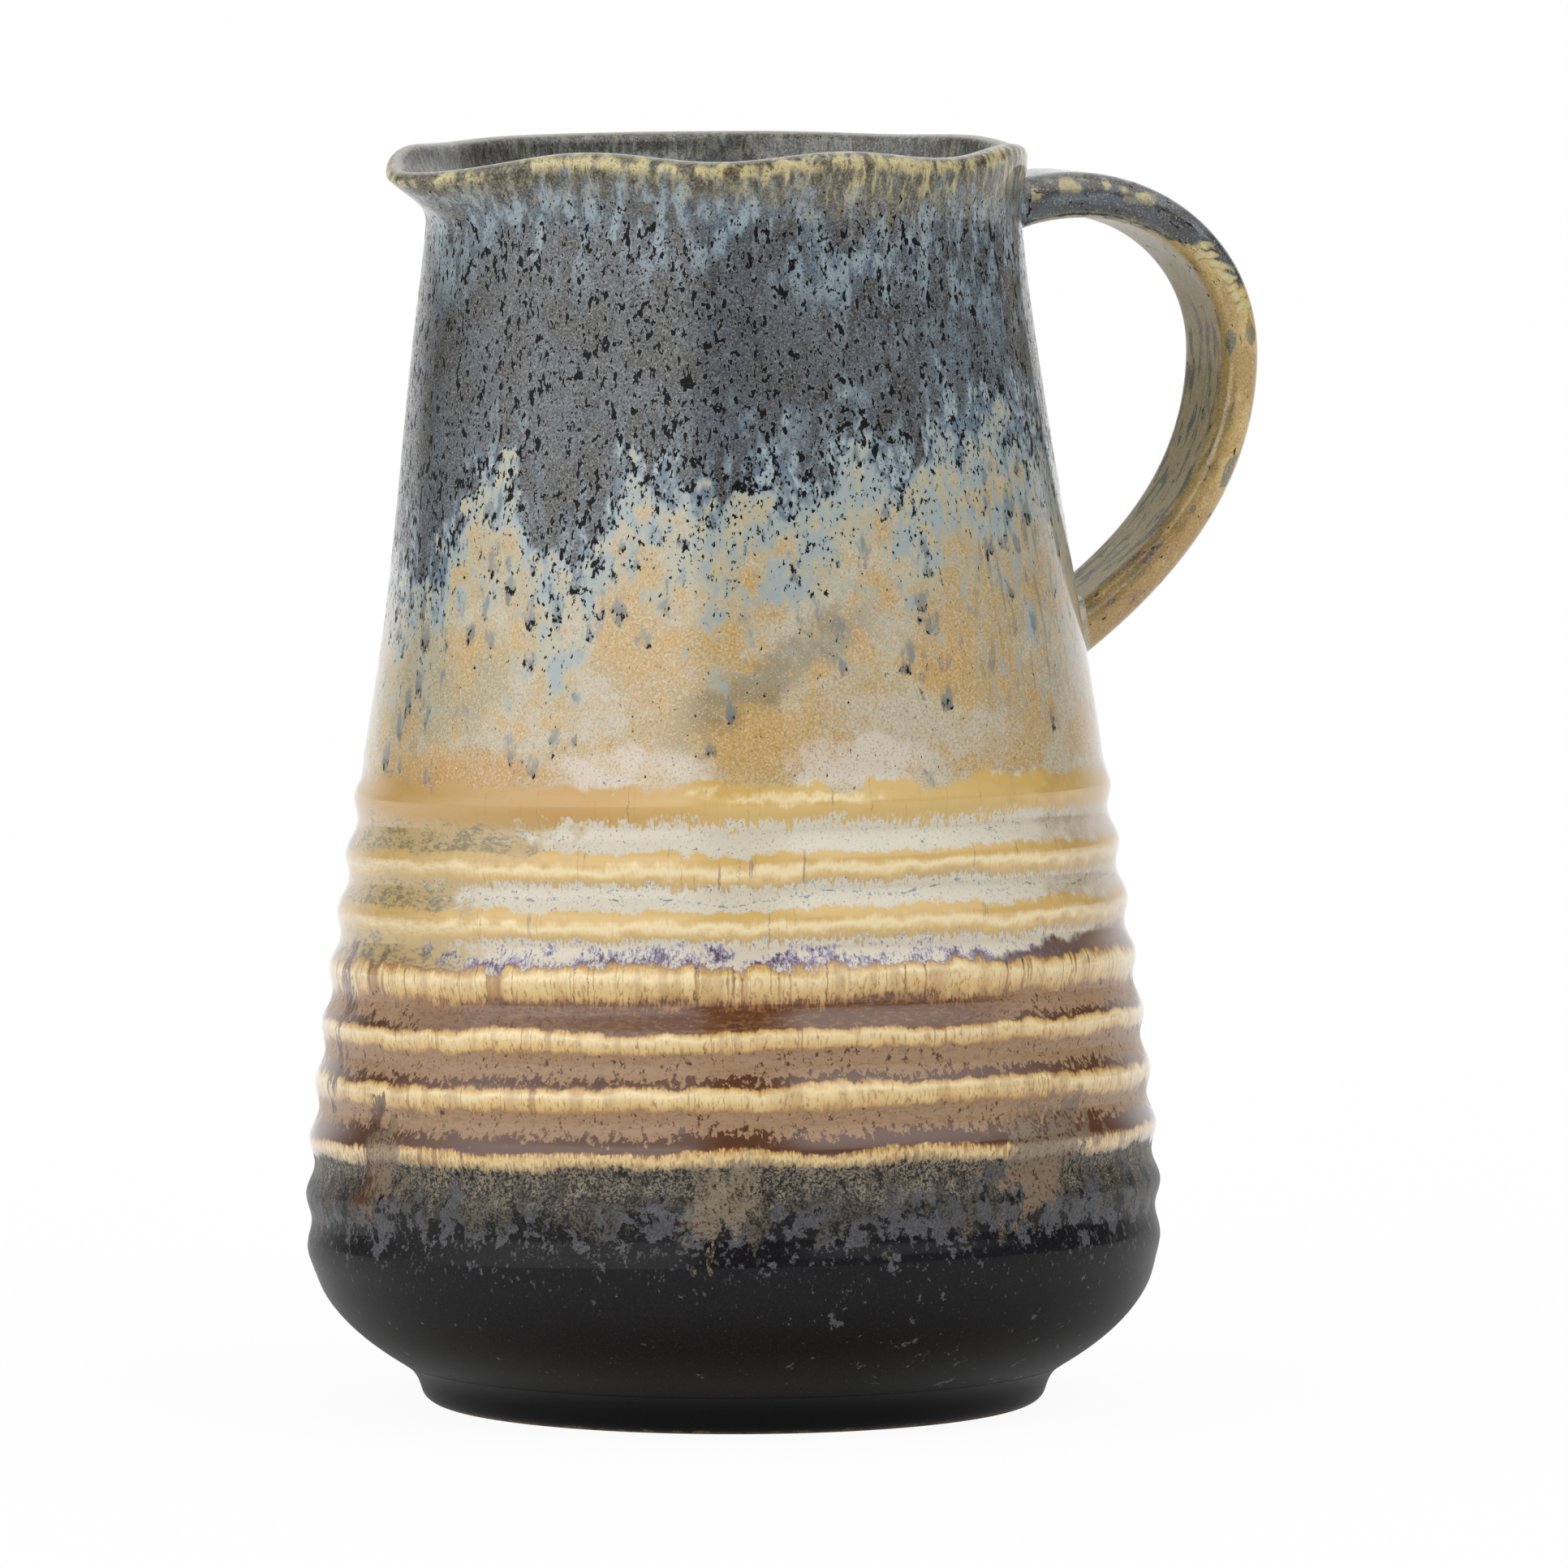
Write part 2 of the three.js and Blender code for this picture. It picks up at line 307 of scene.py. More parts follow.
def potOutline(p):
    lipTop = p["rimHeight"] - p["rimWall"] / 2
    neckZ = p["rimHeight"] - p["lipHeight"]
    outside = [Vector((0, p["footHeight"])), Vector((p["footTopRadius"] - p["underEdge"], p["footHeight"]))]
    for name, steps in p["outsideSteps"].items():
        outside += stretch(stretches[name], steps)[0 if name == "bowl" else 1:]
    half = p["rimWall"] / 2
    rimRound = []
    for i in range(1, p["rimSteps"] + 1):
        angle = math.pi * i / p["rimSteps"]
        across = half * math.cos(angle) - half
        rimRound.append(Vector((p["rimRadius"] + across, lipTop + half * math.sin(angle))))
    inside = []
    for name, steps in p["insideSteps"].items():
        for point in reversed(stretch(stretches[name], steps)[:-1]):
            inLip = smoothstep(point.y, neckZ, lipTop)
            inside.append(Vector((point.x - p["wall"] - (p["rimWall"] - p["wall"]) * inLip, point.y)))
    floorZ = p["footHeight"] + p["floorThickness"]
    edge = p["belly"][0] - p["wall"]
    inside += stretch([(edge, p["belly"][1]), (edge, floorZ + p["bellyUndercut"] / 3),
                       (edge - p["floorCorner"] / 3, floorZ), (edge - p["floorCorner"], floorZ)],
                      p["floorSteps"])[1:]
    inside += [Vector((edge - p["floorCorner"] - p["floorEdge"], floorZ)), Vector((0, floorZ))]
    return outside, rimRound + inside


def joinUp(bm, verts):  # edges round a closed outline
    for low, high in zip(verts, verts[1:] + verts[:1]):
        bm.edges.new((low, high))


def spinRound(bm, steps):  # turns an outline once round the pot's axis
    bmesh.ops.spin(bm, geom=bm.verts[:] + bm.edges[:], cent=(0, 0, 0), axis=(0, 0, 1),
                   angle=2 * math.pi, steps=steps, use_merge=True)
    bmesh.ops.remove_doubles(bm, verts=bm.verts, dist=mergeGap)
    bmesh.ops.recalc_face_normals(bm, faces=bm.faces)


def growRing(bm, ring):  # extrudes a ring of edges, and gives the new ring's points and edges
    made = bmesh.ops.extrude_edge_only(bm, edges=ring)["geom"]
    verts = [item for item in made if isinstance(item, bmesh.types.BMVert)]
    edges = [item for item in made if isinstance(item, bmesh.types.BMEdge)
             and all(v in verts for v in item.verts)]
    return verts, edges


def finishPiece(bm, name, node, material):
    for face in bm.faces:
        face.smooth = True
    for edge in bm.edges:
        edge.smooth = edge.calc_face_angle(0) < sharpAngle
    toFrame = Matrix.Translation((axisX, 0, 0)) @ Matrix.Scale(mm, 4)
    bmesh.ops.transform(bm, matrix=toFrame, verts=bm.verts)
    mesh = bpy.data.meshes.new(name)
    bm.to_mesh(mesh)
    bm.free()
    mesh.materials.append(material)
    piece = bpy.data.objects.new(name, mesh)
    scene.collection.objects.link(piece)
    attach(piece, "root")
    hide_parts(node)
    print(name, "made,", len(mesh.polygons), "faces")
    return piece


def makePot(material, p=pot):
    outside, inside = potOutline(p)
    bm = bmesh.new()
    drop = bm.verts.layers.float.new("drop")
    inner = bm.verts.layers.float.new("inner")
    line = []
    for i, point in enumerate(outside + inside):
        vert = bm.verts.new((point.x, 0, point.y))
        vert[drop] = p["rimHeight"] - point.y
        vert[inner] = 0.0 if i < len(outside) + p["rimOutside"] else 1.0
        line.append(vert)
    for low, high in zip(line, line[1:]):
        bm.edges.new((low, high))
    spinRound(bm, p["turnSteps"])
    for vert in bm.verts:
        ringed = vert[inner] < 0.5 and vert.co.z > p["footHeight"] + p["ringClear"]
        vert.co = handShaped(vert.co, ringed)
    return finishPiece(bm, "thrownPot", "thrown_pot", material)


# Foot ring
foot = {
    "radius": 51.8, "topRadius": 53.6, "height": 5.4, "width": 7, "bevel": 1.8, "bevelSteps": 6,
    "fillet": 2.6, "filletSteps": 8, "turnSteps": 160,
}


def makeFoot(material, p=foot):
    bm = bmesh.new()
    inner = p["radius"] - p["width"]
    heel = Vector((p["radius"], 0))
    crease = Vector((p["topRadius"], p["height"]))
    under = crease + (heel - crease).normalized() * p["fillet"]
    over = crease + Vector((pot["bowlRun"], pot["bowlRise"])).normalized() * p["fillet"]
    # the glaze rounds the crease between foot and bowl
    rounded = interpolate_bezier(under, under.lerp(crease, 2 / 3), over.lerp(crease, 2 / 3), over,
                                 p["filletSteps"] + 1)
    corners = [(inner, 0), heel, *rounded, crease, (inner, p["height"])]
    verts = [bm.verts.new((r, 0, z)) for r, z in corners]
    joinUp(bm, verts)
    bmesh.ops.bevel(bm, geom=[verts[0], verts[1]], offset=p["bevel"], offset_type="OFFSET",
                    affect="VERTICES", segments=p["bevelSteps"], profile=0.5, material=-1)
    spinRound(bm, p["turnSteps"])
    return finishPiece(bm, "footRing", "foot_ring", material)


# Strap handle
strap = {
    "drop": 11.5, "span": 73.2, "reach": 89.2, "elbowDrop": 25,
    "crestRun": 23.5, "crestRise": 7.8, "elbowRise": 18.5, "elbowFall": 22.8,
    "tailRun": 16.6, "tailRise": 11,
    "breadth": 19.4, "thickness": 6.8, "edge": 3, "edgeSteps": 8, "broadCuts": 8, "steps": 40,
    "rootSwell": 0.2, "swellRun": 0.16, "earMiddle": (60, 0, 165),
}


def strapPath(p=strap):
    def root(z):
        return Vector((wallRadius(z) - pot["wall"] / 2, 0, z))

    upper = root(pot["rimHeight"] - p["drop"])
    lower = root(pot["rimHeight"] - p["drop"] - p["span"])
    elbow = Vector((p["reach"], 0, upper.z - p["elbowDrop"]))
    first = interpolate_bezier(upper, upper + Vector((p["crestRun"], 0, p["crestRise"])),
                               elbow + Vector((0, 0, p["elbowRise"])), elbow, p["steps"] + 1)
    second = interpolate_bezier(elbow, elbow - Vector((0, 0, p["elbowFall"])),
                                lower + Vector((p["tailRun"], 0, p["tailRise"])), lower, p["steps"] + 1)
    return first + second[1:]


path = strapPath()


def strapFrame(i, p=strap):  # stands the strap's section across its path at one station
    ahead = path[min(i + 1, len(path) - 1)] - path[max(i - 1, 0)]
    ahead.normalize()
    outward = Vector((-ahead.z, 0, ahead.x))
    if outward.dot(path[i] - Vector(p["earMiddle"])) < 0:
        outward = -outward
    across = Vector((0, 1, 0))
    axes = Matrix((across, outward, ahead)).transposed().to_4x4()
    share = i / (len(path) - 1)
    nearRoot = max(bell(share / p["swellRun"]), bell((1 - share) / p["swellRun"]))
    swell = 1 + p["rootSwell"] * nearRoot
    return Matrix.Translation(path[i]) @ axes @ Matrix.Diagonal((1, swell, 1, 1))


def strapSection(bm, p=strap):  # a rounded rectangle, breadth along x and thickness along y
    corners = [(-1, -1), (1, -1), (1, 1), (-1, 1)]
    verts = [bm.verts.new((x * p["breadth"] / 2, y * p["thickness"] / 2, 0)) for x, y in corners]
    joinUp(bm, verts)
    bmesh.ops.bevel(bm, geom=verts, offset=p["edge"], offset_type="OFFSET", affect="VERTICES",
                    segments=p["edgeSteps"], profile=0.5, material=-1)
    broad = [e for e in bm.edges if e.calc_length() > p["breadth"] / 2]
    bmesh.ops.subdivide_edges(bm, edges=broad, cuts=p["broadCuts"])


def makeStrap(material, p=strap):
    bm = bmesh.new()
    strapSection(bm)
    run = bm.verts.layers.float.new("run")
    depth = bm.verts.layers.float.new("depth")
    for vert in bm.verts:
        vert[depth] = vert.co.y / (p["thickness"] / 2)
    start = 1  # the path's own ends lie in the middle of the wall
    bmesh.ops.transform(bm, matrix=strapFrame(start), verts=bm.verts)
    ring = bm.edges[:]
    ends = [ring]
    length = 0.0
    for i in range(start + 1, len(path) - 1):
        verts, ring = growRing(bm, ring)
        bmesh.ops.transform(bm, matrix=strapFrame(i) @ strapFrame(i - 1).inverted(), verts=verts)
        length += (path[i] - path[i - 1]).length
        for vert in verts:
            vert[run] = length
    ends.append(ring)
    for loop in ends:
        bmesh.ops.contextual_create(bm, geom=loop)
    bmesh.ops.recalc_face_normals(bm, faces=bm.faces)
    return finishPiece(bm, "strapHandle", "strap_handle", material)


# Slip fillets at the handle's roots
lute = {
    "reach": 3.4, "steps": 6, "bury": 0.8,
    "skin": 0.05,  # how far the fillet's edges go into the strap and stand off the wall
    "tries": 12, "leastSlope": 0.3,  # for finding the wall along the strap
}


def wallPoint(co, lift=0.0):  # the point of the pot's outside straight out from the axis
    turn = math.atan2(co.y, co.x)
    radius = wallRadius(co.z)
    shaped = handShaped(Vector((radius * math.cos(turn), radius * math.sin(turn), co.z)), True)
    outward = Vector((shaped.x, shaped.y, 0)).normalized()
    return Vector((shaped.x, shaped.y, co.z)) + outward * lift


def makeLute(name, node, stations, material, p=lute):
    bm = bmesh.new()
    strapSection(bm)
    drop = bm.verts.layers.float.new("drop")
    inner = bm.verts.layers.float.new("inner")
    first, second = stations
    bmesh.ops.transform(bm, matrix=strapFrame(first), verts=bm.verts)
    along = (path[second] - path[first]).normalized()
    bm.verts.index_update()
    # each corner is where the strap's skin meets the wall
    corner = {}
    out = {}
    for vert in bm.verts:
        spot = vert.co.copy()
        for _ in range(p["tries"]):
            gap = math.hypot(spot.x, spot.y) - math.hypot(*wallPoint(spot).xy)
            spot -= along * gap / max(along.x, p["leastSlope"])
        side = spot - path[first]
        side -= along * side.dot(along)
        corner[vert.index] = spot
        out[vert.index] = side.normalized()
    # rings of points from the strap to the wall, then back under the skins of both
    rings = []
    for i in range(p["steps"] + 1):
        t = i / p["steps"]
        placed = {}
        for key, spot in corner.items():
            onStrap = spot + along * p["reach"] - out[key] * p["skin"]
            onWall = wallPoint(spot + out[key] * p["reach"], p["skin"])
            placed[key] = onStrap * (1 - t) ** 2 + spot * 2 * t * (1 - t) + onWall * t ** 2
        rings.append(placed)
    buried = {key: wallPoint(spot + out[key] * p["reach"], -p["bury"]) for key, spot in corner.items()}
    hidden = {key: wallPoint(spot - out[key] * p["bury"], -p["bury"]) for key, spot in corner.items()}
    top = {key: spot + along * p["reach"] - out[key] * p["bury"] for key, spot in corner.items()}
    rings += [buried, hidden, top]
    keys = {vert: vert.index for vert in bm.verts}
    for vert, key in keys.items():
        vert.co = rings[0][key]
    firstRing = bm.edges[:]
    ring = firstRing
    for placed in rings[1:]:
        verts, ring = growRing(bm, ring)
        grown = {}
        for vert in verts:
            old = next(e.other_vert(vert) for e in vert.link_edges if e.other_vert(vert) in keys)
            grown[vert] = keys[old]
            vert.co = placed[keys[old]]
        keys = grown
    bmesh.ops.bridge_loops(bm, edges=ring + firstRing)
    for vert in bm.verts:
        vert[drop] = pot["rimHeight"] - vert.co.z
        vert[inner] = 0.0
    bmesh.ops.recalc_face_normals(bm, faces=bm.faces)
    return finishPiece(bm, name, node, material)


# Reactive glaze of the pot
glaze = {
    # grey glaze and rim
    "slate": rgb(81, 84, 87), "slateWarm": rgb(68, 67, 65), "slateDark": rgb(46, 50, 54),
    # the pale pit-edge colour gives pale grains, and a painted highlight round each pit
    "pit": rgb(24, 24, 26), "paleGrainAndPitHighlight": rgb(146, 148, 146), "inside": rgb(84, 86, 88),
    "blue": rgb(87, 106, 122), "paleBlue": rgb(143, 160, 167), "plume": rgb(170, 184, 189),
    "rimCream": rgb(196, 182, 130), "rimBrown": rgb(66, 56, 36), "rimOlive": rgb(98, 90, 64),
    # lip: a painted highlight along the rim's top edge
    "lip": rgb(160, 158, 148), "straw": rgb(171, 168, 147),
    # cream field
    "tan": rgb(179, 155, 110), "ochre": rgb(188, 152, 89), "haze": rgb(183, 172, 148),
    "olive": rgb(116, 106, 72), "smudge": rgb(98, 90, 62), "smudgeBlue": rgb(76, 86, 86),
    "drip": rgb(110, 120, 123), "dripTip": rgb(48, 54, 62),
    "orange": rgb(184, 138, 66), "sage": rgb(160, 150, 118), "pink": rgb(205, 193, 178),
    # handle
    "gold": rgb(170, 138, 76), "goldLight": rgb(195, 166, 103), "goldBrown": rgb(142, 104, 58),
    "beige": rgb(188, 175, 149), "drab": rgb(168, 151, 108),
    # rings and grooves
    "cream": rgb(218, 193, 142), "creamLight": rgb(230, 211, 166), "creamBrown": rgb(148, 104, 62),
    "honey": rgb(207, 172, 108), "amber": rgb(200, 167, 98),
    "crack": rgb(116, 72, 40), "blueCrack": rgb(92, 98, 98),
    "white": rgb(203, 194, 174), "whiteBlue": rgb(150, 162, 170), "lilac": rgb(134, 126, 158),
    "violet": rgb(78, 58, 58), "mud": rgb(178, 152, 102),
    "brown": rgb(100, 61, 31), "darkBrown": rgb(86, 54, 36), "taupe": rgb(158, 128, 99),
    "runBrown": rgb(78, 50, 34), "runTaupe": rgb(124, 107, 88),
    # base and foot
    "moss": rgb(108, 101, 89), "mossDark": rgb(36, 34, 32), "mossLight": rgb(140, 128, 109),
    "lichen": rgb(102, 102, 104), "lichenDark": rgb(66, 66, 68),
    "black": rgb(13, 12, 13), "violetBlack": rgb(18, 16, 19), "brownBlack": rgb(20, 17, 15),
    "clay": rgb(150, 132, 104), "clayDark": rgb(120, 104, 80),
    # where the grey glaze ends: degrees from the front, height
    "edgeLine": [(-180, 152), (-150, 160), (-120, 147), (-95, 144), (-72, 143), (-60, 142), (-54, 151),
                 (-44, 159), (-37, 151), (-33, 145), (-28, 145), (-23, 153), (-17, 162), (-10, 160),
                 (-4, 154), (4, 161), (12, 159), (18, 161), (22.5, 167), (28, 163), (34, 160), (40, 169),
                 (46, 166), (55, 170), (67, 166), (85, 160), (105, 150), (140, 161), (180, 152)],
    "edgeHeights": (100, 200),
    # richer and duller patches: degrees from the front, height, half the width in degrees, half the height
    "patches": [(4, 116, 9, 7, "ochre"), (-10, 130, 4, 3.5, "ochre"), (-53, 143, 4, 5, "ochre"),
                (2, 141, 4, 3, "ochre"), (36, 127, 6, 6, "ochre"), (57, 152, 4, 4, "ochre"),
                (-48, 108, 22, 5.5, "orange"), (-58, 122, 20, 10, "sage"), (-16, 111, 11, 4, "pink"),
                (20, 112, 14, 4, "pink"), (170, 120, 30, 9, "sage")],
    # a dusky smear: its height at the front, climb by the degree, half its height, and where it lies
    "smearHeight": 122.92, "smearClimb": 0.56, "smearHalf": 5.5, "smearSides": (-8, 22),
    "spill": (-79, 0.75, 5),  # a pale run under the spout: degrees at the rim, slant, half its width
    "topStarts": (6.3, 6.48),  # the upper glaze begins over these rings' places
    "glazeSag": 0.7,  # the cream lies this far under the rings' crests
    # how far each ring's cream reaches over and under its crest, in shares of the rings' spacing
    "creamOver": [(-2, 0.1), (0, 0.12), (1, 0.25), (2, 0.19), (3, 0.28), (4, 0.26), (5, 0.21), (6, 0.45),
                  (8, 0.45)],
    "creamUnder": [(-2, 0.2), (0, 0.21), (1, 0.2), (2, 0.2), (3, 0.35), (4, 0.27), (5, 0.31), (6, 0.26),
                   (8, 0.3)],
    # sides of the jug, in degrees from the front
    "rainySide": (44, 120), "shadedSide": (58, 140), "muddySide": (-150, -43), "brownSide": (-50, 40),
    "mossEnds": 36.2,  # height at which the moss gives way to black
    # runs across the rings: degrees from the front and half the width, top and end, softness, colour
    "runs": [(48, 7.5, 51, 42, 0.2, "runTaupe"), (45, 4.2, 44, 35, 0.25, "runTaupe"),
             (-58.5, 1.8, 53, 36, 0.3, "runBrown"), (-55, 3.2, 50, 36.5, 0.4, "runTaupe"),
             (-72, 1.5, 80, 52, 0.3, "runBrown"), (-1, 3, 44, 32, 0.7, "mossLight")],
    "pitDepth": 0.0003,  # metres
    "gloss": {"Coat Roughness": 0.08, "Coat IOR": 1.56},
}


def potPlaces(paint):
    place = paint.node("TexCoord", {}, {}, "Object")
    cos, sin = math.cos(frontAngle), math.sin(frontAngle)
    shift = (-axisX * cos / mm, -axisX * sin / mm, 0)
    spot = paint.node("Mapping", {}, {"Vector": place, "Location": shift, "Rotation": (0, 0, frontAngle),
                                      "Scale": (1 / mm, 1 / mm, 1 / mm)})
    right, away, up = paint.split(spot)
    turn = paint.node("Math", {"operation": "ARCTAN2"}, {0: right, 1: 0 - away}) * (180 / math.pi)
    tiltX, tiltY = pot["ringTilt"]
    level = up + right * (tiltX * cos - tiltY * sin) + away * (tiltX * sin + tiltY * cos)
    return spot, turn, up, level


def creamField(paint, spot, turn, up, edge, grain, lobes, fray, plume, c=glaze):
    cloud = paint.noise(spot, 15, 3, 0.6, tall=0.8)
    patch = paint.noise(spot, 6, 3, 0.6)
    body = paint.mix(cloud.above(-0.9, 0.9), c["tan"], c["haze"])
    body = paint.mix(patch.above(0.0, 1.8) * 0.7, body, c["ochre"])
    for around, height, wide, tall, colour in c["patches"]:
        across = (turn - around) / wide
        along = (up - height) / tall
        far = across * across + along * along
        body = paint.mix((far + patch * 0.3).above(1.4, 0.2) * 0.8, body, c[colour])
    smear = (up - c["smearHeight"] - turn * c["smearClimb"]) / c["smearHalf"]
    smudge = (smear * smear + patch * 0.3).above(1, 0.0) * turn.between(*c["smearSides"], 7)
    body = paint.mix(smudge * (0.6 + grain * 0.6).above(-0.9, 0.9) * 0.65, body, c["smudge"])
    # painted shade: the cream darkens towards gold-brown round the far right side
    body = paint.mix((turn + patch * 4).between(60, 140, 12) * 0.15, body, c["goldBrown"])
    body = paint.mix(grain.above(0.2, 2.0) * 0.55, body, c["pink"])
    body = paint.mix(grain.above(-0.4, -2.2) * 0.5, body, c["olive"])
    # pale halo under the grey, then drips with dark tips
    low = edge + turn.above(-12, 20) * 3 + lobes * 2.5 + patch * 1.5
    body = paint.mix(low.above(-28, -8) * 0.85, body, c["straw"])
    body = paint.mix((low + fray * 3 + plume * 3.5).above(-17, -3) * 0.75, body, c["paleBlue"])
    rain = paint.noise(spot, 1.4, 2, 0.5, tall=7)
    rainy = turn.between(*c["rainySide"], 8) * up.between(120, 168, 8)
    body = paint.mix(rain.above(0.2, 1.8) * rainy * 0.6, body, c["paleBlue"])
    body = paint.mix(rain.above(-0.6, -2.0) * rainy * 0.6, body, c["drip"])
    right, away, over, draw, size = paint.cells(spot, 3.6, tall=1.5)
    reach = (right * right + away * away + over * over * 0.6).math("SQRT")
    shape = 0.12 + size * 0.26 - reach + fray * 0.12 + grain * 0.02
    chosen = (draw + edge.above(-50, -4) * 0.6).above(0.82, 0.95)
    body = paint.mix(shape.above(-0.16, 0.2) * chosen * 0.75, body, c["drip"])
    tips = shape.above(-0.1, 0.06) * over.above(0.02, -0.2) * chosen
    body = paint.mix(tips * 0.3, body, c["dripTip"])
    body = paint.mix((edge + plume).above(-5, 0.0) * 0.9, body, c["blue"])
    return body, tips


def greyField(paint, spot, turn, edge, drop, inner, grain, lobes, plume, c=glaze):
    veil = paint.noise(spot, 8, 2, 0.5, tall=1.5)
    bloom = paint.noise(spot, 5.5, 3, 0.5, tall=1.5)
    flow = paint.noise(spot, 2.0, 3, 0.6, tall=2.6)
    fall = drop / (1 + turn.between(14, 90, 12) * 0.5)  # the rim's colours run further down on the right
    grey = paint.mix(veil.above(-1, 1), c["slate"], c["slateWarm"])
    grey = paint.mix(bloom.above(0.2, 2.2) * 0.35, grey, c["blue"])
    skirt = fall.above(27, 10)
    grey = paint.mix(skirt * (bloom * 0.8 + flow * 0.4).above(-1.5, 1.1) * 0.8, grey, c["blue"])
    grey = paint.mix(skirt * (flow + bloom * 0.6).above(-0.5, 2.0) * 0.9, grey, c["paleBlue"])
    around, slant, half = c["spill"]
    spill = (turn - around - drop * slant) / half
    spilt = (spill * spill - flow * 0.3).above(1.2, 0.0) * drop.between(9, 24, 4)
    grey = paint.mix(spilt * 0.7, grey, c["paleBlue"])
    glow = edge.above(16, 0) * (plume * 0.8 + lobes * 0.3 + turn.above(-15, 12) * 0.9).above(-0.3, 1.5)
    grey = paint.mix(glow * 0.95, grey, c["blue"])
    grey = paint.mix(glow * glow, grey, c["paleBlue"])
    grey = paint.mix(glow.above(0.7, 1.0) * 0.6, grey, c["plume"])
    grey = paint.mix(inner * 0.7, grey, c["inside"])
    # rim: soft beads of cream over an olive band, combed downwards
    comb = paint.noise(spot, 1.0, 3, 0.6, tall=4)
    bead = paint.noise(spot, 2.8, 2, 0.5, tall=1.5)
    band = (fall + comb + bead * 1.5).above(8.5, 2.0)
    grey = paint.mix(band * (0.9 - inner * 0.5), grey, c["rimOlive"])
    grey = paint.mix(band * comb.above(0.0, 1.8) * 0.6, grey, c["rimBrown"])
    streaks = (bead * 0.7 - comb).above(0.0, 1.8) * (fall - inner * 12).above(12, 4)
    grey = paint.mix(streaks * (0.5 - inner * 0.1), grey, c["straw"])
    strokes = paint.noise(spot, 1.5, 2, 0.5, tall=5)  # combed cream on the right
    combed = drop.above(9, 4) * turn.between(2, 90, 8) * (1 - inner)
    grey = paint.mix(strokes.above(0.0, -1.4) * combed * drop.above(6, 2) * 0.8, grey, c["rimBrown"])
    grey = paint.mix(strokes.above(0.2, 1.3) * combed * 0.8, grey, c["rimCream"])
    beads = (drop + bead * 0.5).between(1.0, 3.0, 0.8) * (bead + comb * 0.5).above(-1.2, 0.5)
    grey = paint.mix(beads * (1 - inner), grey, c["rimCream"])
    gaps = (comb - bead * 0.7).above(0.2, 1.8) * drop.between(0.6, 4.5, 1.2)
    grey = paint.mix(gaps * (0.75 - inner * 0.4), grey, c["rimBrown"])
    grey = paint.mix(grain.above(0.3, 2.2) * 0.5, grey, c["paleGrainAndPitHighlight"])
    grey = paint.mix(grain.above(-0.3, -2.2) * 0.6, grey, c["pit"])
    # the rim's top edge is lightened towards the lip colour: a painted highlight
    return paint.mix(drop.above(0.7, 0.15) * (0.4 + inner * 0.2), grey, c["lip"])


def upperGlaze(paint, spot, turn, up, c=glaze):
    drop = paint.attribute("drop")
    inner = paint.attribute("inner")
    lobes = paint.noise(spot, 4.4, 2, 0.45, tall=1.3)
    fray = paint.noise(spot, 1.3, 3, 0.6, tall=2.2)
    plume = paint.noise(spot, 3.0, 2, 0.5, tall=2.8)
    line = paint.curve(turn, c["edgeLine"], *c["edgeHeights"])
    # millimetres over the grey glaze's ragged end, and far over it inside
    edge = up - line + lobes * 2.7 + fray * 0.8 + inner * 80
    grain = paint.noise(spot, 0.38, 2, 0.7)
    cream, tips = creamField(paint, spot, turn, up, edge, grain, lobes, fray, plume)
    grey = greyField(paint, spot, turn, edge, drop, inner, grain, lobes, plume)
    inGrey = edge.above(-0.6, 1.8)
    body = paint.mix(inGrey, cream, grey)
    # pits in the grey, specks in the cream
    cluster = paint.noise(spot, 7, 1, 0.5)
    pit = paint.noise(spot, 1.05, 3, 0.55, tall=1.9) + cluster * 0.15 + edge.between(-2, 3, 1.5) * 0.4
    pit = pit - 1.25 - drop.above(13, 6) * 2 - edge.above(-1.5, -5) * 3
    pore = paint.noise(spot, 0.55, 2, 0.5, tall=1.7) - 1.7 - drop.above(8, 3) * 2 - edge.above(0, -2) * 3
    speck = paint.noise(spot, 0.65, 3, 0.6, tall=1.7) + tips * 1.9 + edge.above(-30, -1) * 1.6
    speck = speck - 2.7 - edge.above(-0.5, 2.5) * (1.1 + drop.above(13, 7) * 3)
    hole = pit.math("MAXIMUM", speck).math("MAXIMUM", pore)
    # a pale ring round each pit in the grey: painted highlight on the pit's rim
    body = paint.mix(hole.between(-0.28, -0.1, 0.06) * inGrey * 0.8, body, c["paleGrainAndPitHighlight"])
    pits = hole.above(-0.05, 0.1)
    dull = (inGrey * grain.above(0.8, -1.6) * 0.5).math("MAXIMUM", pits * 0.95)
    return paint.mix(pits, body, c["pit"]), pits, dull


